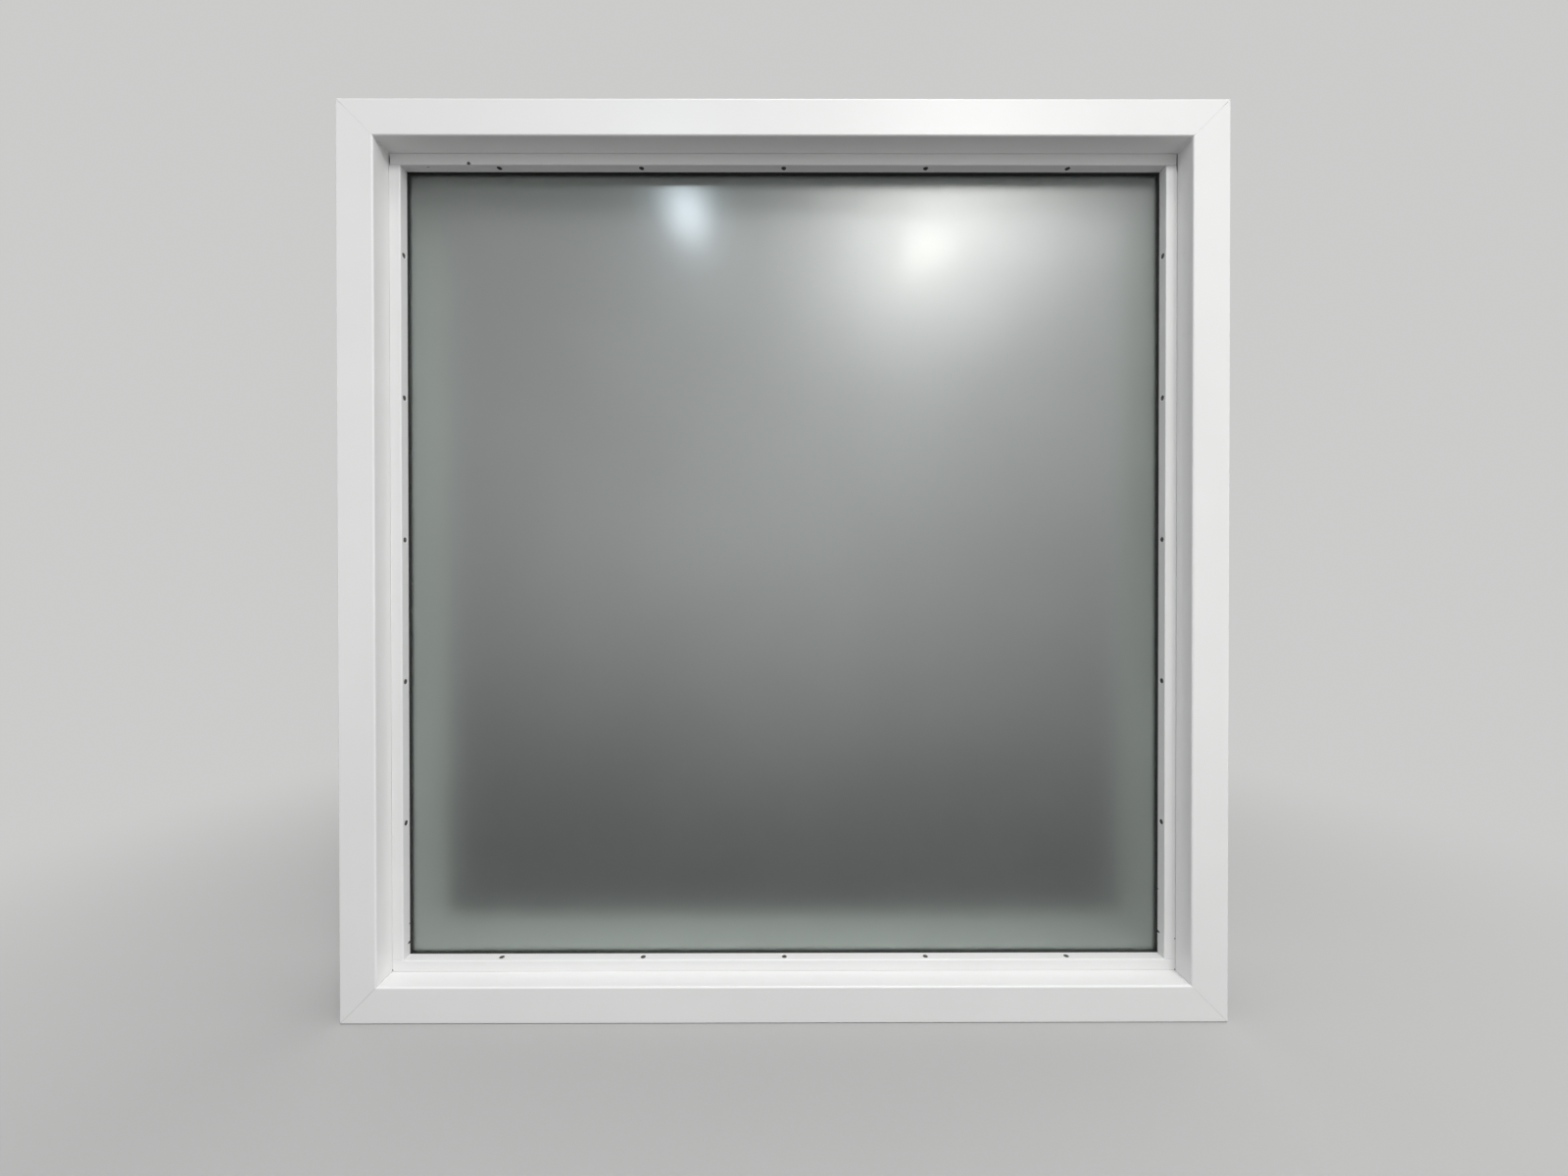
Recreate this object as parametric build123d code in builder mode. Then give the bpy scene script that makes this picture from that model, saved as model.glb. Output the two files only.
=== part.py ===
from build123d import *
from collections import namedtuple
from math import radians, tan
import os

# Interior window: a pressed steel frame for a stud wall, glazed with one pane of satin glass
# that screwed-on channel stops hold. X runs to the right, Y through the wall away from the
# stop side, Z up. The origin is in the middle of the frame's bottom edge.

# Overall sizes of the frame
WIDTH = 1219.2
HEIGHT = 1263.65
DEPTH = 146.05

# Frame section, seen across a member
SHEET = 1.52
FACE_BEND = 2.5
NEAR_FACE = 50.8
NEAR_REVEAL = 31.75
BACKBEND = 12.7
HEM_RETURN = 6.0
HEM_GAP = 0.2
HEM_ROUND_SHARE = 0.99
MITRE_GAP = 0.3

# Loose glazing stops, folded from thinner sheet; the fixed stop is as high as they are
STOP_HEIGHT = 15.9
STOP_DEPTH = 15.9
STOP_SHEET = 1.2
STOP_BEND = 1.6
STOP_GAP = 0.4

# Flat head screws that hold the stops, in dimpled holes
SCREWS_PER_STOP = 5
SCREW_PITCH = 203.2
SIDE_SCREW_RISE = 34.5
SCREW_LENGTH = 25.4
SCREW_RADIUS = 1.75
SCREW_HEAD_RADIUS = 3.55
SCREW_ANGLE = 82.0
SCREW_CLEARANCE = 0.15
SCREW_SEAT = 0.1
DIMPLE_RADIUS = 4.0

# Flats on each small round of the screws and their holes, few because they repeat
ROUND_SIDES = 12

# Spare hole through the front fold of the top stop
SPARE_HOLE_RADIUS = 1.9
SPARE_HOLE_X = -446.0
SPARE_HOLE_RISE = 1.5

# Glass, glazing tape and setting blocks
GLASS = 6.0
GLASS_CLEARANCE = 5.0
GLASS_SEAM = 0.5
TAPE = 3.2
NEAR_TAPE_WIDTH = 9.5
FAR_TAPE_WIDTH = 6.4
TAPE_RECESS = 0.5
BLOCK_HEIGHT = 6.4
BLOCK_LENGTH = 101.6

# Corner brackets on the back of the soffit
BRACKET_SHEET = 3.0
BRACKET_LEG = 55.0
BRACKET_WIDTH = 50.0

# Straps in the throat that take the screws into the wall's studs
STRAP_SHEET = 1.2
STRAP_BEND = 2.4
STRAP_WIDTH = 50.0
STRAP_INSET = 25.0
STRAP_LEG = 16.0
STRAP_FROM_CORNER = 254.0
STRAP_HOLE_RADIUS = 2.5
STRAP_HOLE_SPACING = 70.0

# Places through the wall
near_y = -DEPTH / 2
far_y = DEPTH / 2
stop_front = near_y + NEAR_REVEAL
stop_back = stop_front + STOP_DEPTH
glass_near = stop_back + TAPE
glass_far = glass_near + GLASS
fixed_stop_y = glass_far + TAPE
screw_y = (stop_front + stop_back) / 2

# Places inward from the outer edge of a member
far_face = NEAR_FACE + STOP_HEIGHT
tape_outer = far_face - TAPE_RECESS - NEAR_TAPE_WIDTH
soffit_back = far_face - SHEET

# Sizes of the screw holes and of the dimples that sink the heads
hole_radius = SCREW_RADIUS + SCREW_CLEARANCE
half_angle = radians(SCREW_ANGLE / 2)
dimple_depth = (DIMPLE_RADIUS - hole_radius) / tan(half_angle)

# A member's plane stands across its middle: x runs inward from the outer edge, y through the
# wall and z along the member
Member = namedtuple("Member", "name plane half_length")


def member(name, inward, reach, half_length):
    """Return the named side of the frame, with its plane on the outer edge."""
    inward = Vector(*inward)
    middle = Vector(0, 0, HEIGHT / 2)
    along = inward.cross(Vector(0, 1, 0))
    return Member(name, Plane(middle - inward * reach, x_dir=inward, z_dir=along), half_length)


HEAD = member("head", (0, 0, -1), HEIGHT / 2, WIDTH / 2)
SILL = member("sill", (0, 0, 1), HEIGHT / 2, WIDTH / 2)
JAMB_LEFT = member("jamb_left", (1, 0, 0), WIDTH / 2, HEIGHT / 2)
JAMB_RIGHT = member("jamb_right", (-1, 0, 0), WIDTH / 2, HEIGHT / 2)
SIDES = {"top": HEAD, "bottom": SILL, "left": JAMB_LEFT, "right": JAMB_RIGHT}

os.makedirs("parts", exist_ok=True)


def save(builder, name):
    """Label a finished piece and write it to its own file."""
    builder.part.label = name
    export_step(builder.part, f"parts/{name}.step")


def screw_planes(side, inward):
    """Return a plane for each stop screw, at a distance inward and facing away from the opening."""
    middle = (SCREWS_PER_STOP - 1) / 2
    rise = SIDE_SCREW_RISE * side.plane.z_dir.Z
    offsets = [(index - middle) * SCREW_PITCH + rise for index in range(SCREWS_PER_STOP)]
    points = [side.plane.from_local_coords((inward, screw_y, offset)) for offset in offsets]
    return [Plane(point, x_dir=(0, 1, 0), z_dir=-side.plane.x_dir) for point in points]


def small_round(radius):
    """Draw a small round as a ring of few flats, which all lie at its radius."""
    RegularPolygon(radius=radius, side_count=ROUND_SIDES, major_radius=False)


# Frame members, each one folded section cut at 45 degrees
hem_bend = SHEET + HEM_GAP / 2
frame_skin = [
    (2 * hem_bend, near_y + BACKBEND - HEM_RETURN),
    (2 * hem_bend, near_y + BACKBEND),
    (0, near_y + BACKBEND),
    (0, near_y),
    (NEAR_FACE, near_y),
    (NEAR_FACE, fixed_stop_y),
    (far_face, fixed_stop_y),
    (far_face, far_y),
    (0, far_y),
    (0, far_y - BACKBEND),
    (2 * hem_bend, far_y - BACKBEND),
    (2 * hem_bend, far_y - BACKBEND + HEM_RETURN),
]
inner_bend = FACE_BEND - SHEET
hem_fold = HEM_ROUND_SHARE * hem_bend
frame_bends = [
    hem_fold,
    hem_fold,
    FACE_BEND,
    FACE_BEND,
    inner_bend,
    FACE_BEND,
    FACE_BEND,
    FACE_BEND,
    hem_fold,
    hem_fold,
]


def mitre_plane(side, end):
    """Return the cut at one end of a member, facing away from it and set back by half the gap."""
    corner = side.plane.from_local_coords((0, 0, end * side.half_length))
    across = (side.plane.x_dir + side.plane.z_dir * end).normalized()
    return Plane(corner - across * (MITRE_GAP / 2), z_dir=across)


for side in SIDES.values():
    with BuildPart() as frame_member:
        with BuildSketch(side.plane):
            with BuildLine():
                skin = FilletPolyline(*frame_skin, radius=frame_bends)
                offset(skin, amount=SHEET, side=Side.LEFT)
            make_face()
        extrude(amount=side.half_length, both=True)
        for end in (-1, 1):
            split(bisect_by=mitre_plane(side, end), keep=Keep.BOTTOM)
        with BuildSketch(*screw_planes(side, NEAR_FACE)):
            small_round(hole_radius)
        extrude(amount=2 * SHEET, both=True, mode=Mode.SUBTRACT)
    save(frame_member, f"frame_{side.name}")

# Loose stops: the top and bottom ones run between the jambs, the side ones between those two
stop_base = NEAR_FACE + STOP_GAP
stop_skin = [
    (stop_base, stop_front),
    (far_face, stop_front),
    (far_face, stop_back),
    (stop_base, stop_back),
]

for where, side in SIDES.items():
    end_inset = stop_base if where in ("top", "bottom") else far_face + STOP_GAP
    with BuildPart() as stop:
        with BuildSketch(side.plane):
            with BuildLine():
                channel = FilletPolyline(*stop_skin, radius=STOP_BEND)
                offset(channel, amount=STOP_SHEET, side=Side.LEFT)
            make_face()
        extrude(amount=side.half_length - end_inset, both=True)
        with BuildSketch(*screw_planes(side, far_face - STOP_SHEET)):
            small_round(DIMPLE_RADIUS)
        extrude(amount=dimple_depth - STOP_SHEET, taper=SCREW_ANGLE / 2)
        with BuildSketch(*screw_planes(side, far_face)):
            small_round(DIMPLE_RADIUS)
        extrude(amount=dimple_depth, taper=SCREW_ANGLE / 2, mode=Mode.SUBTRACT)
        if where == "top":
            spare_z = HEIGHT - far_face + SPARE_HOLE_RISE
            with Locations(Plane((SPARE_HOLE_X, stop_front, spare_z), z_dir=(0, -1, 0))):
                Hole(radius=SPARE_HOLE_RADIUS, depth=2 * STOP_SHEET)
    save(stop, f"stop_{where}")

# Screws, seated in their dimples
head_drop = (DIMPLE_RADIUS - SCREW_HEAD_RADIUS) / tan(half_angle) - SCREW_SEAT
head_height = (SCREW_HEAD_RADIUS - SCREW_RADIUS) / tan(half_angle)

for where, side in SIDES.items():
    with BuildPart() as stop_screws:
        with BuildSketch(*screw_planes(side, far_face - head_drop)):
            small_round(SCREW_HEAD_RADIUS)
        extrude(amount=head_height, taper=SCREW_ANGLE / 2)
        inward = Axis((0, 0, 0), side.plane.x_dir)
        narrow_ends = stop_screws.faces().group_by(inward)[0]
        extrude(narrow_ends, amount=SCREW_LENGTH - head_height)
    save(stop_screws, f"stop_screws_{where}")

# Glazing tape on both sides of the glass, butted as the stops are; the far tape is narrower and
# lies out of sight
for layer, tape_y, tape_width in (
    ("near", stop_back, NEAR_TAPE_WIDTH),
    ("far", glass_far, FAR_TAPE_WIDTH),
):
    for where, side in SIDES.items():
        end_inset = tape_outer if where in ("top", "bottom") else tape_outer + tape_width
        with BuildPart() as tape:
            with BuildSketch(side.plane):
                with Locations((tape_outer + tape_width / 2, tape_y + TAPE / 2)):
                    Rectangle(tape_width, TAPE)
            extrude(amount=side.half_length - end_inset, both=True)
        save(tape, f"tape_{layer}_{where}")

# Glass with seamed edges, standing on two blocks at its quarter points
glass_half_width = WIDTH / 2 - NEAR_FACE - GLASS_CLEARANCE
glass_bottom = NEAR_FACE + BLOCK_HEIGHT
glass_top = HEIGHT - NEAR_FACE - GLASS_CLEARANCE

with BuildPart() as glass:
    with BuildSketch(Plane.XZ.offset(-glass_far)):
        with Locations((0, (glass_bottom + glass_top) / 2)):
            Rectangle(2 * glass_half_width, glass_top - glass_bottom)
    extrude(amount=GLASS)
    rims = glass.faces().filter_by(Axis.Y).edges()
    chamfer(rims, length=GLASS_SEAM)
save(glass, "glass")

for where, hand in (("left", -1), ("right", 1)):
    with BuildPart() as block:
        with BuildSketch(Plane.XZ.offset(-glass_far)):
            with Locations((hand * glass_half_width / 2, NEAR_FACE + BLOCK_HEIGHT / 2)):
                Rectangle(BLOCK_LENGTH, BLOCK_HEIGHT)
        extrude(amount=GLASS)
    save(block, f"setting_block_{where}")

# Corner brackets, angles that lie round the corner on the back of the far soffit
bracket_y = (fixed_stop_y + far_y) / 2
corner_x = WIDTH / 2 - soffit_back
corner_z = HEIGHT / 2 - soffit_back

for where, x_hand, z_hand in (
    ("top_left", -1, 1),
    ("top_right", 1, 1),
    ("bottom_left", -1, -1),
    ("bottom_right", 1, -1),
):
    tip_x = x_hand * (corner_x - BRACKET_LEG)
    tip_z = HEIGHT / 2 + z_hand * (corner_z - BRACKET_LEG)
    heel_x = x_hand * corner_x
    heel_z = HEIGHT / 2 + z_hand * corner_z
    out_x = heel_x + x_hand * BRACKET_SHEET
    out_z = heel_z + z_hand * BRACKET_SHEET
    angle_outline = [
        (tip_x, heel_z),
        (heel_x, heel_z),
        (heel_x, tip_z),
        (out_x, tip_z),
        (out_x, out_z),
        (tip_x, out_z),
    ]
    with BuildPart() as bracket:
        with BuildSketch(Plane.XZ.offset(-bracket_y)):
            with BuildLine():
                Polyline(*angle_outline, close=True)
            make_face()
        extrude(amount=BRACKET_WIDTH / 2, both=True)
        outer_corner = bracket.edges().filter_by(Axis.Y).sort_by_distance((out_x, bracket_y, out_z))
        fillet(outer_corner[0], radius=BRACKET_SHEET)
    save(bracket, f"corner_bracket_{where}")

# Wall straps, one in the head and the sill and two in each jamb, folded to lie against the
# backs of both faces
strap_near = near_y + SHEET
strap_far = far_y - SHEET
strap_skin = [
    (STRAP_INSET + STRAP_LEG, strap_near),
    (STRAP_INSET, strap_near),
    (STRAP_INSET, strap_far),
    (STRAP_INSET + STRAP_LEG, strap_far),
]
jamb_strap = HEIGHT / 2 - STRAP_FROM_CORNER
strap_places = {
    "anchor_head": (HEAD, 0),
    "anchor_sill": (SILL, 0),
    "anchor_jamb_left_lower": (JAMB_LEFT, -jamb_strap),
    "anchor_jamb_left_upper": (JAMB_LEFT, jamb_strap),
    "anchor_jamb_right_lower": (JAMB_RIGHT, jamb_strap),
    "anchor_jamb_right_upper": (JAMB_RIGHT, -jamb_strap),
}

for name, (side, middle) in strap_places.items():
    hole_points = [
        side.plane.from_local_coords((STRAP_INSET, across * STRAP_HOLE_SPACING / 2, middle))
        for across in (-1, 1)
    ]
    with BuildPart() as strap:
        with BuildSketch(side.plane.offset(middle)):
            with BuildLine():
                fold = FilletPolyline(*strap_skin, radius=STRAP_BEND)
                offset(fold, amount=STRAP_SHEET, side=Side.RIGHT)
            make_face()
        extrude(amount=STRAP_WIDTH / 2, both=True)
        with Locations(*[Plane(point, z_dir=-side.plane.x_dir) for point in hole_points]):
            Hole(radius=STRAP_HOLE_RADIUS, depth=2 * STRAP_SHEET)
    save(strap, name)
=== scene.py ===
"""Interior window: finishes, screws, stage and camera, laid out as an add-on."""

import math

import bmesh
import bpy
from mathutils import Matrix, Vector


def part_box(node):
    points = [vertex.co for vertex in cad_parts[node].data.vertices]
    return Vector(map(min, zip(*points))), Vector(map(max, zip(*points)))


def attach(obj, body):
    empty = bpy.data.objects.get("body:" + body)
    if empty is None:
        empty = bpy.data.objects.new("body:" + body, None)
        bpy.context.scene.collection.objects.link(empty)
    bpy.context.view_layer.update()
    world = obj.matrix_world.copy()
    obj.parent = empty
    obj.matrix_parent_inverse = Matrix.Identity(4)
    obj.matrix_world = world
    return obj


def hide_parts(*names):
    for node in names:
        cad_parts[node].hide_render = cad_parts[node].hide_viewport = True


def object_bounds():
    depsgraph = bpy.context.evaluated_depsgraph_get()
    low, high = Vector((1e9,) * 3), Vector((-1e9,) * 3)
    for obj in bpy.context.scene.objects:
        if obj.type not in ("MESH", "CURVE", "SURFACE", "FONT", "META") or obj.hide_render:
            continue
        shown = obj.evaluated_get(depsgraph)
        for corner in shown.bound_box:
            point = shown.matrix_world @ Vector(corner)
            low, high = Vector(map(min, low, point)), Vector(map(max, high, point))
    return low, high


bl_info = {
    "name": "Interior Window",
    "version": (1, 0, 0),
    "blender": (4, 5, 0),
    "location": "View3D > Sidebar > Window",
    "description": "Finishes a pressed steel interior window with satin glass and sets its studio",
    "category": "Object",
}

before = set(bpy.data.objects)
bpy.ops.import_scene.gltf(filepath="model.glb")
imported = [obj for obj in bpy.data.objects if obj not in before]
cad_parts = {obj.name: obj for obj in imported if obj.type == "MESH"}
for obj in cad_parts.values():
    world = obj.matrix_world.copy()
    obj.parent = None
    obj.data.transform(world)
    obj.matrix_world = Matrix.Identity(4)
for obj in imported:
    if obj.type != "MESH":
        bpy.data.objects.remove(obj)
cad_low, cad_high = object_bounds()

MM = 0.001
ROOT = "root"

# Sides of the window, its folded members, and the box of the stop at its top
SIDES = ("top", "bottom", "left", "right")
MEMBERS = ("frame_head", "frame_sill", "frame_jamb_left", "frame_jamb_right")
STOP_LOW, STOP_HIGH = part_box("stop_top")

# Inward direction of each side, and the axis that its row of screws runs along
INWARD = {
    "top": Vector((0, 0, -1)),
    "bottom": Vector((0, 0, 1)),
    "left": Vector((1, 0, 0)),
    "right": Vector((-1, 0, 0)),
}
ALONG = {"top": 0, "bottom": 0, "left": 2, "right": 2}

# Most of a noise's values lie in this range
NOISE_RANGE = (0.3, 0.7)


# Settings that a user would change


class PaintSettings(bpy.types.PropertyGroup):
    """White baked enamel on the frame and the stops."""

    colour: bpy.props.FloatVectorProperty(
        name="Colour", description="Colour of the enamel", subtype="COLOR", size=3,
        min=0, max=1, default=(0.80, 0.80, 0.797),
    )
    gloss: bpy.props.FloatProperty(
        name="Roughness", description="Mean roughness of the enamel", min=0, max=1, default=0.3,
        subtype="FACTOR",
    )
    peel: bpy.props.FloatProperty(
        name="Orange Peel", description="Height of the enamel's fine ripple", default=0.03 * MM,
        unit="LENGTH",
    )


class GlassSettings(bpy.types.PropertyGroup):
    """The satin pane."""

    tint: bpy.props.FloatVectorProperty(
        name="Tint", description="Colour that passes through the pane", subtype="COLOR", size=3,
        min=0, max=1, default=(0.625, 0.69, 0.648),
    )
    satin: bpy.props.FloatProperty(
        name="Satin", description="Roughness of the etched body", min=0, max=1, default=0.42,
        subtype="FACTOR",
    )
    polish: bpy.props.FloatProperty(
        name="Polish", description="Roughness of the clear skin over it", min=0, max=1,
        default=0.16, subtype="FACTOR",
    )


class ScrewSettings(bpy.types.PropertyGroup):
    """Flat head screws of the stops."""

    count: bpy.props.IntProperty(
        name="Count", description="Screws in each stop", min=1, max=40, default=5,
    )
    pitch: bpy.props.FloatProperty(
        name="Pitch", description="Distance from screw to screw", default=203.2 * MM,
        unit="LENGTH",
    )
    thread_pitch: bpy.props.FloatProperty(
        name="Thread Pitch", description="Advance of the thread in one turn", default=1.4 * MM,
        unit="LENGTH",
    )


class StageSettings(bpy.types.PropertyGroup):
    """Floor, background, lamps and camera."""

    background: bpy.props.FloatVectorProperty(
        name="Background", description="Colour of the space round the window and of the far floor",
        subtype="COLOR", size=3, min=0, max=1, default=(0.60, 0.60, 0.595),
    )
    floor: bpy.props.FloatVectorProperty(
        name="Floor", description="Colour of the floor round the window's foot", subtype="COLOR",
        size=3, min=0, max=1, default=(0.43, 0.43, 0.427),
    )
    bounce: bpy.props.FloatProperty(
        name="Bounce", description="Share of its light that the floor gives back to the window",
        min=0, max=1, default=0.3, subtype="FACTOR",
    )
    light_right: bpy.props.FloatProperty(
        name="Light, Right", description="Strength of the soft light from the right", min=0,
        default=1.84,
    )
    light_left: bpy.props.FloatProperty(
        name="Light, Left", description="Strength of the soft light from the left", min=0,
        default=1.33,
    )
    softbox_power: bpy.props.FloatProperty(
        name="Softbox", description="Power of the softbox high in front", min=0, default=115,
        unit="POWER",
    )
    backbox_power: bpy.props.FloatProperty(
        name="Back Softbox", description="Power of the softbox high behind", min=0, default=50,
        unit="POWER",
    )
    beyond_high: bpy.props.FloatProperty(
        name="Beyond, High", description="Brightness through the glass, upwards", min=0,
        default=0.28,
    )
    beyond_low: bpy.props.FloatProperty(
        name="Beyond, Low", description="Brightness through the glass, downwards", min=0,
        default=0.085,
    )
    beyond_glow: bpy.props.FloatProperty(
        name="Beyond, Glow", description="Brightness added in the middle beyond the glass", min=0,
        default=0.24,
    )
    beyond_lamp: bpy.props.FloatProperty(
        name="Beyond, Lamp", description="Brightness added high on the right beyond the glass",
        min=0, default=0.24,
    )
    mirror_sides: bpy.props.FloatProperty(
        name="Mirrored Sides", description="Brightness of the two tall glows that gloss mirrors",
        min=0, default=4,
    )
    mirror_glow: bpy.props.FloatProperty(
        name="Mirrored Glow", description="Brightness of the glow in front that gloss mirrors",
        min=0, default=7.2,
    )
    key_power: bpy.props.FloatProperty(
        name="Key Lamp", description="Power of the large lamp", min=0, default=64, unit="POWER",
    )
    strip_power: bpy.props.FloatProperty(
        name="Warm Strip", description="Power of the warm strip lamp", min=0, default=5.2,
        unit="POWER",
    )
    cool_power: bpy.props.FloatProperty(
        name="Cool Panel", description="Power of the cool panel lamp", min=0, default=9,
        unit="POWER",
    )
    camera_distance: bpy.props.FloatProperty(
        name="Camera Distance", description="From the lens to the near face", default=766.6 * MM,
        unit="LENGTH",
    )
    camera_height: bpy.props.FloatProperty(
        name="Camera Height", description="Above the bottom of the window", default=601.1 * MM,
        unit="LENGTH",
    )


# Node helpers


def add_node(tree, kind, inputs=(), **settings):
    """Add a node, set its properties, and set or link its inputs."""
    made = tree.nodes.new(kind)
    for key, value in settings.items():
        setattr(made, key, value)
    for key, value in dict(inputs).items():
        if isinstance(value, bpy.types.NodeSocket):
            tree.links.new(value, made.inputs[key])
        else:
            made.inputs[key].default_value = value
    return made


def new_material(name):
    """Return a material, its tree and its Principled shader."""
    material = bpy.data.materials.new(name)
    material.use_nodes = True
    tree = material.node_tree
    return material, tree, tree.nodes["Principled BSDF"]


def set_finish(tree, shader, colour, rough, normal):
    """Link a finish's colour, roughness and normal to its shader."""
    tree.links.new(colour, shader.inputs["Base Color"])
    tree.links.new(rough, shader.inputs["Roughness"])
    tree.links.new(normal, shader.inputs["Normal"])


def object_place(tree):
    """Return the socket that gives a point's place on the window, in metres."""
    return add_node(tree, "ShaderNodeTexCoord").outputs["Object"]


def noise(tree, place, scale, detail=3.0):
    """Return a noise value at so many cells a metre."""
    inputs = {"Vector": place, "Scale": scale, "Detail": detail, "Roughness": 0.5}
    return add_node(tree, "ShaderNodeTexNoise", inputs).outputs["Fac"]


def ramp(tree, value, low, high, out_low=0.0, out_high=1.0):
    """Map a value from one range smoothly to another and hold it there."""
    inputs = dict(enumerate((value, low, high, out_low, out_high)))
    made = add_node(tree, "ShaderNodeMapRange", inputs, interpolation_type="SMOOTHSTEP")
    return made.outputs[0]


def vary(tree, value, mean, change):
    """Return a mean that a noise value moves up and down by at most the change."""
    return ramp(tree, value, *NOISE_RANGE, mean - change, mean + change)


def math_node(tree, operation, first, second=0.0):
    """Return the result of one sum on two values."""
    return add_node(tree, "ShaderNodeMath", {0: first, 1: second}, operation=operation).outputs[0]


def vector_node(tree, operation, *vectors):
    """Return the outputs of one sum on vectors."""
    inputs = dict(enumerate(vectors))
    return add_node(tree, "ShaderNodeVectorMath", inputs, operation=operation).outputs


def mix_colour(tree, factor, first, second):
    """Mix two colours; a plain colour is given without its alpha."""
    factor_socket, first_socket, second_socket, result_socket = 0, 6, 7, 2
    inputs = {factor_socket: factor}
    for socket, colour in ((first_socket, first), (second_socket, second)):
        is_linked = isinstance(colour, bpy.types.NodeSocket)
        inputs[socket] = colour if is_linked else (*colour, 1.0)
    return add_node(tree, "ShaderNodeMix", inputs, data_type="RGBA").outputs[result_socket]


def bump(tree, height, distance, under=None):
    """Return a normal raised by a height from 0 to 1 over a distance, on another if given."""
    inputs = {"Height": height, "Distance": distance, "Strength": 1.0}
    if under is not None:
        inputs["Normal"] = under
    return add_node(tree, "ShaderNodeBump", inputs).outputs["Normal"]


def spot(tree, place, centre, reach, full=0.6):
    """Return 1 round a point, up to a full share of its reach on each axis, and 0 past that."""
    offset = vector_node(tree, "SUBTRACT", place, tuple(centre))
    shrunk = vector_node(tree, "DIVIDE", offset["Vector"], tuple(reach))
    apart = vector_node(tree, "LENGTH", shrunk["Vector"])
    return ramp(tree, apart["Value"], full, 1.0, 1.0, 0.0)


# Finishes


def enamel(name, paint, marks=()):
    """White baked enamel with a fine ripple, faint soiling, and small marks of wear, of painted
    shade and of painted highlight.
    """
    patch_grain, speck_grain, gloss_grain, peel_grain, wave_grain = 3.0, 900.0, 7.0, 520.0, 9.0
    patch_range, speck_range = (0.35, 0.7), (0.72, 0.76)
    soiled, specked, speck_share = 0.965, 0.7, 0.25
    gloss_change, mark_gloss, wave_height = 0.015, 0.8, 1.2 * MM
    material, tree, shader = new_material(name)
    place = object_place(tree)
    white = Vector(paint.colour)
    patches = ramp(tree, noise(tree, place, patch_grain), *patch_range)
    colour = mix_colour(tree, patches, white, white * soiled)
    specks = ramp(tree, noise(tree, place, speck_grain, detail=1.0), *speck_range)
    specks = math_node(tree, "MULTIPLY", specks, speck_share)
    colour = mix_colour(tree, specks, colour, white * specked)
    normal = bump(tree, noise(tree, place, wave_grain, detail=1.0), wave_height)
    normal = bump(tree, noise(tree, place, peel_grain, detail=2.0), paint.peel, under=normal)
    rough = vary(tree, noise(tree, place, gloss_grain), paint.gloss, gloss_change)
    # Each mark sets its colour, of wear, painted shade or painted highlight, and roughens the
    # enamel
    for centre, reach, shade in marks:
        mark = spot(tree, place, centre, reach)
        colour = mix_colour(tree, mark, colour, shade)
        marked_rough = math_node(tree, "MULTIPLY", mark, mark_gloss)
        rough = math_node(tree, "MAXIMUM", rough, marked_rough)
    set_finish(tree, shader, colour, rough, normal)
    return material


def satin_glass(name, settings):
    """Grey-green float glass, satin etched behind a polished face."""
    cloud_grain, satin_grain, etch_grain = 4.0, 60.0, 900.0
    clouded, satin_change, etch_height, refraction = 0.94, 0.02, 0.004 * MM, 1.5
    material, tree, shader = new_material(name)
    place = object_place(tree)
    tint = Vector(settings.tint)
    cloud = ramp(tree, noise(tree, place, cloud_grain, detail=2.0), *NOISE_RANGE)
    colour = mix_colour(tree, cloud, tint, tint * clouded)
    rough = vary(tree, noise(tree, place, satin_grain), settings.satin, satin_change)
    normal = bump(tree, noise(tree, place, etch_grain, detail=1.0), etch_height)
    shader.inputs["Transmission Weight"].default_value = 1.0
    shader.inputs["IOR"].default_value = refraction
    shader.inputs["Coat Weight"].default_value = 1.0
    shader.inputs["Coat Roughness"].default_value = settings.polish
    set_finish(tree, shader, colour, rough, normal)
    return material


def zinc(name):
    """Zinc plated steel with dulled patches; both its colours are darkened as painted shade of the
    dimple round each head.
    """
    # Both colours are darker than plated zinc: painted shade of the dimple round the head
    bright, dulled = (0.26, 0.255, 0.245), (0.10, 0.10, 0.095)
    dull_grain, gloss_grain, scratch_grain = 700.0, 1500.0, 2600.0
    dull_range, gloss_range, scratch_depth = (0.4, 0.65), (0.28, 0.5), 0.01 * MM
    material, tree, shader = new_material(name)
    place = object_place(tree)
    dull = ramp(tree, noise(tree, place, dull_grain), *dull_range)
    colour = mix_colour(tree, dull, bright, dulled)
    shine = noise(tree, place, gloss_grain, detail=1.0)
    rough = ramp(tree, shine, *NOISE_RANGE, *gloss_range)
    normal = bump(tree, noise(tree, place, scratch_grain, detail=1.0), scratch_depth)
    shader.inputs["Metallic"].default_value = 1.0
    set_finish(tree, shader, colour, rough, normal)
    return material


def galvanised(name):
    """Bare galvanised sheet with its spangle."""
    dark, bright, filmed = (0.42, 0.44, 0.46), (0.60, 0.62, 0.63), (0.50, 0.50, 0.48)
    crystal_grain, film_grain, crystal_height = 110.0, 30.0, 0.02 * MM
    gloss_range, film_range, film_share = (0.30, 0.52), (0.5, 0.75), 0.5
    material, tree, shader = new_material(name)
    place = object_place(tree)
    crystals = add_node(tree, "ShaderNodeTexVoronoi", {"Vector": place, "Scale": crystal_grain})
    channels = add_node(tree, "ShaderNodeSeparateColor", {"Color": crystals.outputs["Color"]})
    grain = channels.outputs["Red"]
    colour = mix_colour(tree, grain, dark, bright)
    film = ramp(tree, noise(tree, place, film_grain), *film_range)
    film = math_node(tree, "MULTIPLY", film, film_share)
    colour = mix_colour(tree, film, colour, filmed)
    rough = ramp(tree, grain, 0.0, 1.0, *gloss_range)
    shader.inputs["Metallic"].default_value = 0.9
    set_finish(tree, shader, colour, rough, bump(tree, grain, crystal_height))
    return material


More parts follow.
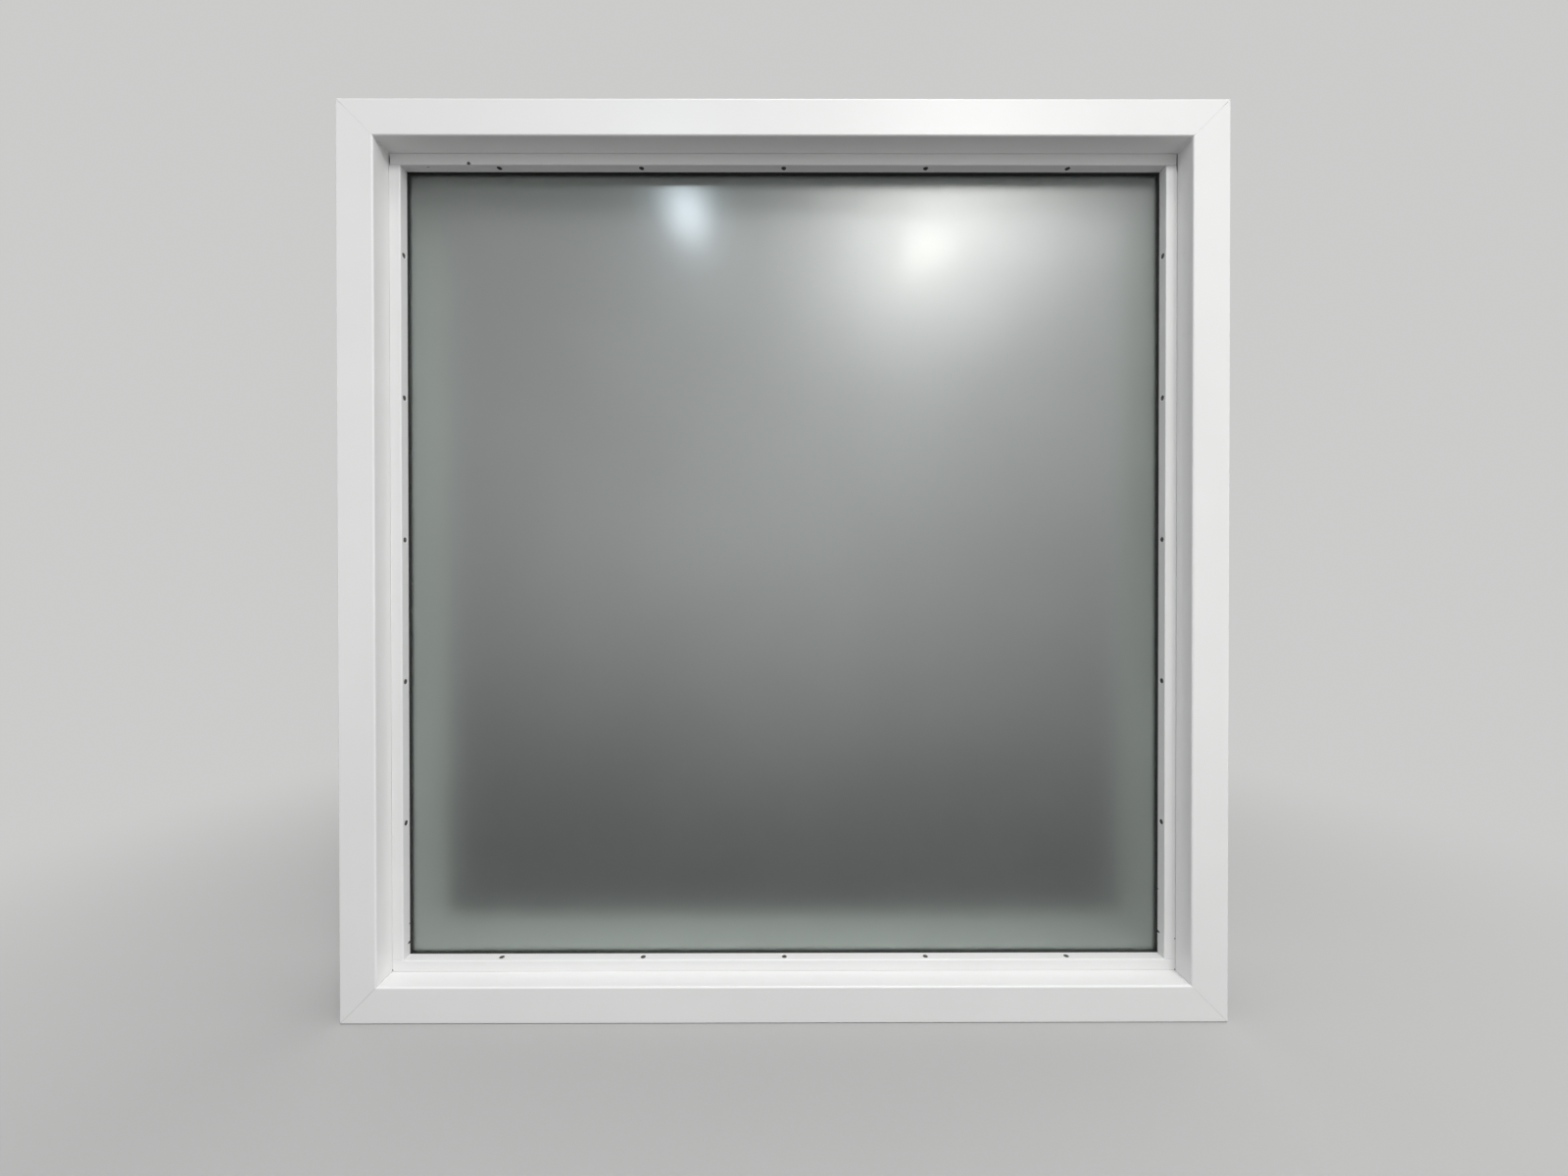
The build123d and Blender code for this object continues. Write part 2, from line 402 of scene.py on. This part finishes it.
def black_rubber(name, grain_scale, roughness):
    """Black foam or rubber with a fine grain."""
    dark, pale = (0.025, 0.025, 0.025), (0.055, 0.055, 0.053)
    gloss_change, grain_height = 0.08, 0.1 * MM
    material, tree, shader = new_material(name)
    grain = noise(tree, object_place(tree), grain_scale, detail=2.0)
    colour = mix_colour(tree, grain, dark, pale)
    rough = vary(tree, grain, roughness, gloss_change)
    set_finish(tree, shader, colour, rough, bump(tree, grain, grain_height))
    return material


def give(node, material):
    """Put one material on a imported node."""
    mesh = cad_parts[node].data
    mesh.materials.clear()
    mesh.materials.append(material)


# Screws


def link_new(name, mesh):
    """Return a new object of a mesh, linked to the scene."""
    made = bpy.data.objects.new(name, mesh)
    bpy.context.scene.collection.objects.link(made)
    return made


def mesh_from(shape, name):
    """Turn a closed bmesh into a mesh whose faces point outwards."""
    bmesh.ops.recalc_face_normals(shape, faces=shape.faces)
    mesh = bpy.data.meshes.new(name)
    shape.to_mesh(mesh)
    shape.free()
    return mesh


def evaluated_mesh(owner):
    """Return an object's mesh with its modifiers applied."""
    evaluated = owner.evaluated_get(bpy.context.evaluated_depsgraph_get())
    return bpy.data.meshes.new_from_object(evaluated)


def screw_template(material, thread_pitch):
    """Build one flat head screw with a cross recess, its head up and its top at the origin."""
    radius, head, core = 1.75 * MM, 3.55 * MM, 1.3 * MM
    length, cone, rim = 25.4 * MM, 2.07 * MM, 0.15 * MM
    point, blunt = 4.0 * MM, 0.02 * MM
    around, rows_a_turn, crest_slope = 24, 6, 5.0
    shape = bmesh.new()
    rings = []

    def ring(radius_at, height):
        rings.append([
            shape.verts.new((
                radius_at(turn) * math.cos(math.tau * turn / around),
                radius_at(turn) * math.sin(math.tau * turn / around),
                height,
            ))
            for turn in range(around)
        ])

    ring(lambda turn: head - rim, 0.0)
    ring(lambda turn: head, -rim)
    ring(lambda turn: radius, -cone)
    rows = math.ceil((length - cone) / (thread_pitch / rows_a_turn))
    for row in range(1, rows):
        depth = cone + row * thread_pitch / rows_a_turn
        left = max(length - depth, 0.0)
        slim = min(left / point, 1.0)

        def thread(turn, row=row, slim=slim):
            phase = (row / rows_a_turn - turn / around) % 1.0
            crest = max(1.0 - abs(phase - 0.5) * crest_slope, 0.0)
            return (core + (radius - core) * crest) * slim + blunt

        ring(thread, -depth)
    for upper, lower in zip(rings, rings[1:]):
        for turn in range(around):
            after = (turn + 1) % around
            shape.faces.new((upper[turn], lower[turn], lower[after], upper[after]))
    shape.faces.new(rings[0])
    shape.faces.new(list(reversed(rings[-1])))
    mesh = mesh_from(shape, "screw_template")
    mesh.materials.append(material)
    screw = link_new("screw_template", mesh)
    recess = cross_recess()
    cut = screw.modifiers.new("recess", "BOOLEAN")
    cut.object = recess
    cut.operation = "DIFFERENCE"
    cut.solver = "EXACT"
    finished = evaluated_mesh(screw)
    screw.modifiers.remove(cut)
    screw.data = finished
    bpy.data.objects.remove(recess)
    return screw


def cross_recess():
    """Build the tapered cross that the driver's tip presses into a screw head."""
    reach, half_width, depth, taper = 1.9 * MM, 0.42 * MM, 1.3 * MM, 0.35
    above = 0.2 * MM
    shape = bmesh.new()
    corners = []
    for quarter in range(4):
        turn = Matrix.Rotation(quarter * math.pi / 2, 3, "Z")
        for x, y in ((half_width, -half_width), (reach, -half_width), (reach, half_width)):
            corners.append(turn @ Vector((x, y, 0)))
    top = [shape.verts.new((*corner.xy, above)) for corner in corners]
    bottom = [shape.verts.new((*(corner.xy * taper), -depth)) for corner in corners]
    shape.faces.new(top)
    shape.faces.new(list(reversed(bottom)))
    for index in range(len(corners)):
        after = (index + 1) % len(corners)
        shape.faces.new((top[index], bottom[index], bottom[after], top[after]))
    return link_new("cross_recess", mesh_from(shape, "cross_recess"))


def screw_row_tree(material):
    """Build the Geometry Nodes that set a row of screws, each turned by its own amount."""
    tree = bpy.data.node_groups.new("Screw Row", "GeometryNodeTree")
    sockets = (
        ("Screw", "NodeSocketObject"),
        ("Count", "NodeSocketInt"),
        ("First", "NodeSocketVector"),
        ("Step", "NodeSocketVector"),
        ("Facing", "NodeSocketVector"),
        ("Seed", "NodeSocketInt"),
    )
    for name, kind in sockets:
        tree.interface.new_socket(name, in_out="INPUT", socket_type=kind)
    tree.interface.new_socket("Geometry", in_out="OUTPUT", socket_type="NodeSocketGeometry")
    given = tree.nodes.new("NodeGroupInput").outputs
    result = tree.nodes.new("NodeGroupOutput")
    row = add_node(
        tree, "GeometryNodeMeshLine",
        {"Count": given["Count"], "Start Location": given["First"], "Offset": given["Step"]},
        mode="OFFSET",
    )
    model = add_node(tree, "GeometryNodeObjectInfo", {"Object": given["Screw"]})
    face = add_node(
        tree, "FunctionNodeAlignRotationToVector", {"Vector": given["Facing"]}, axis="Z",
    )
    turn = add_node(
        tree, "FunctionNodeRandomValue",
        {"Min": 0.0, "Max": math.tau, "Seed": given["Seed"]},
        data_type="FLOAT",
    )
    spin = add_node(
        tree, "FunctionNodeAxisAngleToRotation",
        {"Axis": (0, 0, 1), "Angle": turn.outputs["Value"]},
    )
    turned = add_node(
        tree, "FunctionNodeRotateRotation",
        {"Rotation": face.outputs[0], "Rotate By": spin.outputs[0]},
        rotation_space="LOCAL",
    )
    placed = add_node(
        tree, "GeometryNodeInstanceOnPoints",
        {
            "Points": row.outputs[0],
            "Instance": model.outputs["Geometry"],
            "Rotation": turned.outputs[0],
        },
    )
    real = add_node(tree, "GeometryNodeRealizeInstances", {"Geometry": placed.outputs[0]})
    dressed = add_node(
        tree, "GeometryNodeSetMaterial", {"Geometry": real.outputs[0], "Material": material},
    )
    tree.links.new(dressed.outputs[0], result.inputs[0])
    return tree


def set_inputs(modifier, values):
    """Set a modifier's inputs by the names of their sockets."""
    for item in modifier.node_group.interface.items_tree:
        if item.item_type == "SOCKET" and item.name in values:
            modifier[item.identifier] = values[item.name]


# Operators


class WINDOW_OT_paint_frame(bpy.types.Operator):
    """Paint the four members of the frame."""

    bl_idname = "window.paint_frame"
    bl_label = "Paint Frame"

    def execute(self, context):
        coat = enamel("frame_enamel", context.scene.window_paint)
        for node in MEMBERS:
            give(node, coat)
        return {"FINISHED"}


class WINDOW_OT_paint_stops(bpy.types.Operator):
    """Paint the loose stops, with their marks of wear, painted shade in their gaps and round the
    spare hole, and a painted highlight on a scratch.
    """

    bl_idname = "window.paint_stops"
    bl_label = "Paint Stops"

    def execute(self, context):
        coat = enamel("stop_enamel", context.scene.window_paint, stop_marks())
        for side in SIDES:
            give(f"stop_{side}", coat)
        return {"FINISHED"}


def stop_marks():
    """List the marks on the stops, each with its centre, its reach on each axis and its shade."""
    # Dark marks are bare steel, and also painted shade in the gaps and round the spare hole; the
    # pale one is a painted highlight
    bare_and_shade, raised = (0.05, 0.047, 0.043), (0.92, 0.92, 0.92)
    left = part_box("stop_left")[1].x
    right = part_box("stop_right")[0].x
    front, back, under = STOP_LOW.y, STOP_HIGH.y, STOP_LOW.z

    # Nicks at the back edges of the side stops: across, up and half width
    nicks = (
        (left, 111.4 * MM, 0.9 * MM),
        (left, 84.6 * MM, 1.7 * MM),
        (right, 159.8 * MM, 0.9 * MM),
        (right, 98.1 * MM, 1.7 * MM),
    )
    deeper, taller = 4.2, 1.4
    marks = [
        ((across, back, up), (reach, deeper * reach, taller * reach), bare_and_shade)
        for across, up, reach in nicks
    ]

    # A scratch under the top stop: a painted highlight on its raised edge, in front of the bare
    # line
    scratch = Vector((-506, 0, 0)) * MM + Vector((0, front + 3.4 * MM, under))
    marks.append((scratch, (3.6 * MM, 0.9 * MM, 1.0 * MM), raised))
    marks.append((scratch + Vector((0, 1.3, 0)) * MM, (3.0 * MM, 0.7 * MM, 1.0 * MM), bare_and_shade))

    # Dark ring round the spare hole: bare steel at its edge, and painted shade that makes the
    # hole's dark look wider
    hole = Vector((-446 * MM, front, under + 1.4 * MM))
    marks.append((hole, (3.2 * MM, 1.8 * MM, 2.8 * MM), bare_and_shade))

    # Painted shade in the gaps between the stops: across, up and half height in millimetres
    gap, gap_width, gap_depth = 558.2, 1.3 * MM, 1.5 * MM
    gap_shade = (
        (-gap, 53.1, 1.4),
        (gap, 51.7, 1.4),
        (gap, 96.0, 1.4),
        (gap, 1200, 16),
        (-gap, 1203, 9),
    )
    for across, up, tall in gap_shade:
        place = Vector((across * MM, front, up * MM))
        marks.append((place, (gap_width, gap_depth, tall * MM), bare_and_shade))
    return marks


class WINDOW_OT_set_screws(bpy.types.Operator):
    """Set a row of flat head screws in each stop."""

    bl_idname = "window.set_screws"
    bl_label = "Set Screws"

    def execute(self, context):
        settings = context.scene.window_screws
        material = zinc("zinc_plate")
        template = screw_template(material, settings.thread_pitch)
        tree = screw_row_tree(material)
        for seed, side in enumerate(SIDES):
            low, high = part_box(f"stop_screws_{side}")
            middle = (low + high) / 2
            along = Vector((0, 0, 0))
            along[ALONG[side]] = 1.0
            head = middle + INWARD[side] * (abs((high - low).dot(INWARD[side])) / 2)
            owner = link_new("screw_row", bpy.data.meshes.new("screw_row"))
            row = owner.modifiers.new("screw_row", "NODES")
            row.node_group = tree
            set_inputs(row, {
                "Screw": template,
                "Count": settings.count,
                "First": head - along * settings.pitch * (settings.count - 1) / 2,
                "Step": along * settings.pitch,
                "Facing": INWARD[side],
                "Seed": seed,
            })
            piece = link_new(f"flat_head_screws_{side}", evaluated_mesh(owner))
            bpy.data.objects.remove(owner)
            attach(piece, ROOT)
            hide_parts(f"stop_screws_{side}")
        bpy.data.objects.remove(template)
        return {"FINISHED"}


class WINDOW_OT_glaze(bpy.types.Operator):
    """Finish the satin pane, its tapes and its setting blocks."""

    bl_idname = "window.glaze"
    bl_label = "Glaze"

    def execute(self, context):
        give("glass", satin_glass("satin_glass", context.scene.window_glass))
        foam = black_rubber("foam_tape", grain_scale=1400.0, roughness=0.85)
        for layer in ("near", "far"):
            for side in SIDES:
                give(f"tape_{layer}_{side}", foam)
        block = black_rubber("block_rubber", grain_scale=500.0, roughness=0.6)
        for hand in ("left", "right"):
            give(f"setting_block_{hand}", block)
        return {"FINISHED"}


class WINDOW_OT_finish_fixings(bpy.types.Operator):
    """Finish the straps and the corner brackets in the throat."""

    bl_idname = "window.finish_fixings"
    bl_label = "Finish Fixings"

    def execute(self, context):
        sheet = galvanised("galvanised_sheet")
        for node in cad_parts:
            if node.startswith(("anchor_", "corner_bracket_")):
                give(node, sheet)
        return {"FINISHED"}


class WINDOW_OT_set_stage(bpy.types.Operator):
    """Lay the floor, light the studio and place the camera."""

    bl_idname = "window.set_stage"
    bl_label = "Set Stage"

    def execute(self, context):
        settings = context.scene.window_stage
        lay_floor(settings)
        fill_world(settings)
        hang_lamps(settings)
        place_camera(settings)
        context.scene.view_settings.view_transform = "Standard"
        return {"FINISHED"}


def lay_floor(settings):
    """Make a round floor that fades into the background away from the window."""
    size, edges, fade_range = 30.0, 96, (0.75, 1.9)
    grain_scale, darker, lighter = 300.0, 0.98, 1.02
    shape = bmesh.new()
    bmesh.ops.create_circle(shape, cap_ends=True, segments=edges, radius=size)
    mesh = bpy.data.meshes.new("floor")
    shape.to_mesh(mesh)
    shape.free()
    floor = link_new("floor", mesh)
    material, tree, shader = new_material("floor")
    place = object_place(tree)
    near = Vector(settings.floor)
    grain = noise(tree, place, grain_scale)
    colour = mix_colour(tree, grain, near * darker, near * lighter)
    path = add_node(tree, "ShaderNodeLightPath").outputs
    colour = mix_colour(tree, path["Is Diffuse Ray"], colour, (settings.bounce,) * 3)
    tree.links.new(colour, shader.inputs["Base Color"])
    shader.inputs["Roughness"].default_value = 0.9
    shader.inputs["Specular IOR Level"].default_value = 0.1
    background = add_node(tree, "ShaderNodeEmission", {"Color": (*settings.background, 1.0)})
    away = ramp(tree, vector_node(tree, "LENGTH", place)["Value"], *fade_range)
    away = math_node(tree, "MULTIPLY", away, path["Is Camera Ray"])
    both = add_node(
        tree, "ShaderNodeMixShader",
        {0: away, 1: shader.outputs[0], 2: background.outputs[0]},
    )
    tree.links.new(both.outputs[0], tree.nodes["Material Output"].inputs["Surface"])
    mesh.materials.append(material)

    # Gloss and glass show the world alone, so no floor line crosses the pane
    floor.visible_glossy = False
    floor.visible_transmission = False


def side_light(tree, sideways, settings):
    """Return the soft light from both sides, as a grey."""
    strength = 0.0
    for sign, share in ((1, settings.light_right), (-1, settings.light_left)):
        towards = math_node(tree, "MAXIMUM", math_node(tree, "MULTIPLY", sideways, sign))
        towards = math_node(tree, "MULTIPLY", towards, share)
        strength = math_node(tree, "ADD", towards, strength)
    inputs = {0: strength, 1: strength, 2: strength}
    return add_node(tree, "ShaderNodeCombineColor", inputs).outputs[0]


def seen_through(tree, direction, upwards, settings):
    """Return what shows through the pane: dim below, pale above, and glowing in two places."""
    fade_range, green_share = (-0.5, 0.2), 0.955
    middle, high_right = (0.05, 1.0, 0.1), (0.27, 0.81, 0.52)
    strength = ramp(tree, upwards, *fade_range, settings.beyond_low, settings.beyond_high)
    for centre, reach, share in (
        (middle, 0.8, settings.beyond_glow),
        (high_right, 0.5, settings.beyond_lamp),
    ):
        glow = spot(tree, direction, centre, (reach,) * 3, full=0.0)
        strength = math_node(tree, "ADD", strength, math_node(tree, "MULTIPLY", glow, share))
    green = math_node(tree, "MULTIPLY", strength, green_share)
    inputs = {0: strength, 1: green, 2: strength}
    return add_node(tree, "ShaderNodeCombineColor", inputs).outputs[0]


def mirrored(tree, direction, upwards, settings):
    """Return what gloss mirrors: the background, two tall glows aside and one high in front."""
    fade_range, low_share = (-0.5, 0.3), 0.15
    aside, forward, up = 0.84, -0.55, 0.1
    tall_reach, tall_full = (0.22, 0.3, 0.7), 0.3
    in_front, front_reach = (0.234, -0.813, 0.532), (0.28, 0.28, 0.24)
    pale = Vector(settings.background)
    colour = mix_colour(tree, ramp(tree, upwards, *fade_range), pale * low_share, pale)
    for hand in (-1, 1):
        glow = spot(tree, direction, (aside * hand, forward, up), tall_reach, full=tall_full)
        colour = mix_colour(tree, glow, colour, (settings.mirror_sides,) * 3)
    glow = spot(tree, direction, in_front, front_reach, full=0.0)
    return mix_colour(tree, glow, colour, (settings.mirror_glow,) * 3)


def fill_world(settings):
    """Light the window from its sides, and set what shows round it, in gloss and in glass."""
    world = bpy.data.worlds.new("studio")
    world.use_nodes = True
    bpy.context.scene.world = world
    tree = world.node_tree
    direction = add_node(tree, "ShaderNodeTexCoord").outputs["Generated"]
    parts = add_node(tree, "ShaderNodeSeparateXYZ", {0: direction}).outputs
    path = add_node(tree, "ShaderNodeLightPath").outputs
    light = side_light(tree, parts["X"], settings)
    reflection = mirrored(tree, direction, parts["Z"], settings)
    beyond = seen_through(tree, direction, parts["Z"], settings)
    shown = mix_colour(tree, path["Is Glossy Ray"], settings.background, reflection)
    shown = mix_colour(tree, path["Is Transmission Ray"], shown, beyond)
    seen = math_node(tree, "MAXIMUM", path["Is Camera Ray"], path["Is Glossy Ray"])
    seen = math_node(tree, "MAXIMUM", seen, path["Is Transmission Ray"])
    colour = mix_colour(tree, seen, light, shown)
    tree.links.new(colour, tree.nodes["Background"].inputs["Color"])


def hang_lamps(settings):
    """Hang a key lamp, two softboxes, and a strip and a panel that the pane mirrors as spots."""
    ceiling, high, softbox = 2.87, 6.5, (3.0, 1.5)
    plain, white = (1.0, 0.99, 0.98), (1.0, 1.0, 0.995)
    warm, cool = (1.0, 0.96, 0.85), (0.8, 0.92, 1.0)

    # Name, place, size, turn in degrees, power and colour of each
    lamps = (
        ("key", (0.9, -2.4, ceiling), (0.9, 0.9), 0, settings.key_power, plain),
        ("softbox", (0.5, -2.6, high), softbox, 0, settings.softbox_power, white),
        ("back_softbox", (0.3, 2.6, high), softbox, 0, settings.backbox_power, white),
        ("warm_strip", (1.0, -2.9, ceiling), (0.1, 0.7), -14, settings.strip_power, warm),
        ("cool_panel", (-0.58, -2.63, ceiling), (0.2, 0.42), 0, settings.cool_power, cool),
    )
    for name, place, size, turn, power, colour in lamps:
        data = bpy.data.lights.new(name, "AREA")
        data.shape = "RECTANGLE"
        data.size, data.size_y = size
        data.energy = power
        data.color = colour
        lamp = link_new(name, data)
        lamp.location = place
        lamp.rotation_euler.z = math.radians(turn)
        lamp.visible_camera = False

        # Gloss mirrors the world's soft glow in place of the key lamp's hard edges
        lamp.visible_glossy = name != "key"


def place_camera(settings):
    """Put the wide lens where the photograph was taken from."""
    focal_pixels, image_width = 572.9, 1600
    sensor_width, aside = 36.0, -1.7 * MM
    pitch, roll, yaw = math.radians(0.282), math.radians(0.042), math.radians(-0.117)
    data = bpy.data.cameras.new("camera")
    data.sensor_width = sensor_width
    data.lens = sensor_width * focal_pixels / image_width
    camera = link_new("camera", data)
    camera.location = (aside, cad_low.y - settings.camera_distance, settings.camera_height)
    camera.rotation_euler = (math.pi / 2 - pitch, roll, yaw)
    bpy.context.scene.camera = camera


class WINDOW_PT_panel(bpy.types.Panel):
    """Lists the steps that finish the window."""

    bl_label = "Interior Window"
    bl_idname = "WINDOW_PT_panel"
    bl_space_type = "VIEW_3D"
    bl_region_type = "UI"
    bl_category = "Window"

    def draw(self, context):
        for operator in OPERATORS:
            self.layout.operator(operator.bl_idname)


SETTINGS = {
    "window_paint": PaintSettings,
    "window_glass": GlassSettings,
    "window_screws": ScrewSettings,
    "window_stage": StageSettings,
}
OPERATORS = (
    WINDOW_OT_paint_frame,
    WINDOW_OT_paint_stops,
    WINDOW_OT_set_screws,
    WINDOW_OT_glaze,
    WINDOW_OT_finish_fixings,
    WINDOW_OT_set_stage,
)


def register():
    """Register the settings, the operators and the panel."""
    for name, group in SETTINGS.items():
        bpy.utils.register_class(group)
        setattr(bpy.types.Scene, name, bpy.props.PointerProperty(type=group))
    for operator in OPERATORS:
        bpy.utils.register_class(operator)
    bpy.utils.register_class(WINDOW_PT_panel)


def unregister():
    """Take back what register added."""
    bpy.utils.unregister_class(WINDOW_PT_panel)
    for operator in reversed(OPERATORS):
        bpy.utils.unregister_class(operator)
    for name, group in SETTINGS.items():
        delattr(bpy.types.Scene, name)
        bpy.utils.unregister_class(group)


def main():
    """Finish the window step by step."""
    register()
    bpy.ops.window.paint_frame()
    bpy.ops.window.paint_stops()
    bpy.ops.window.set_screws()
    bpy.ops.window.glaze()
    bpy.ops.window.finish_fixings()
    bpy.ops.window.set_stage()


if __name__ == "__main__":
    main()
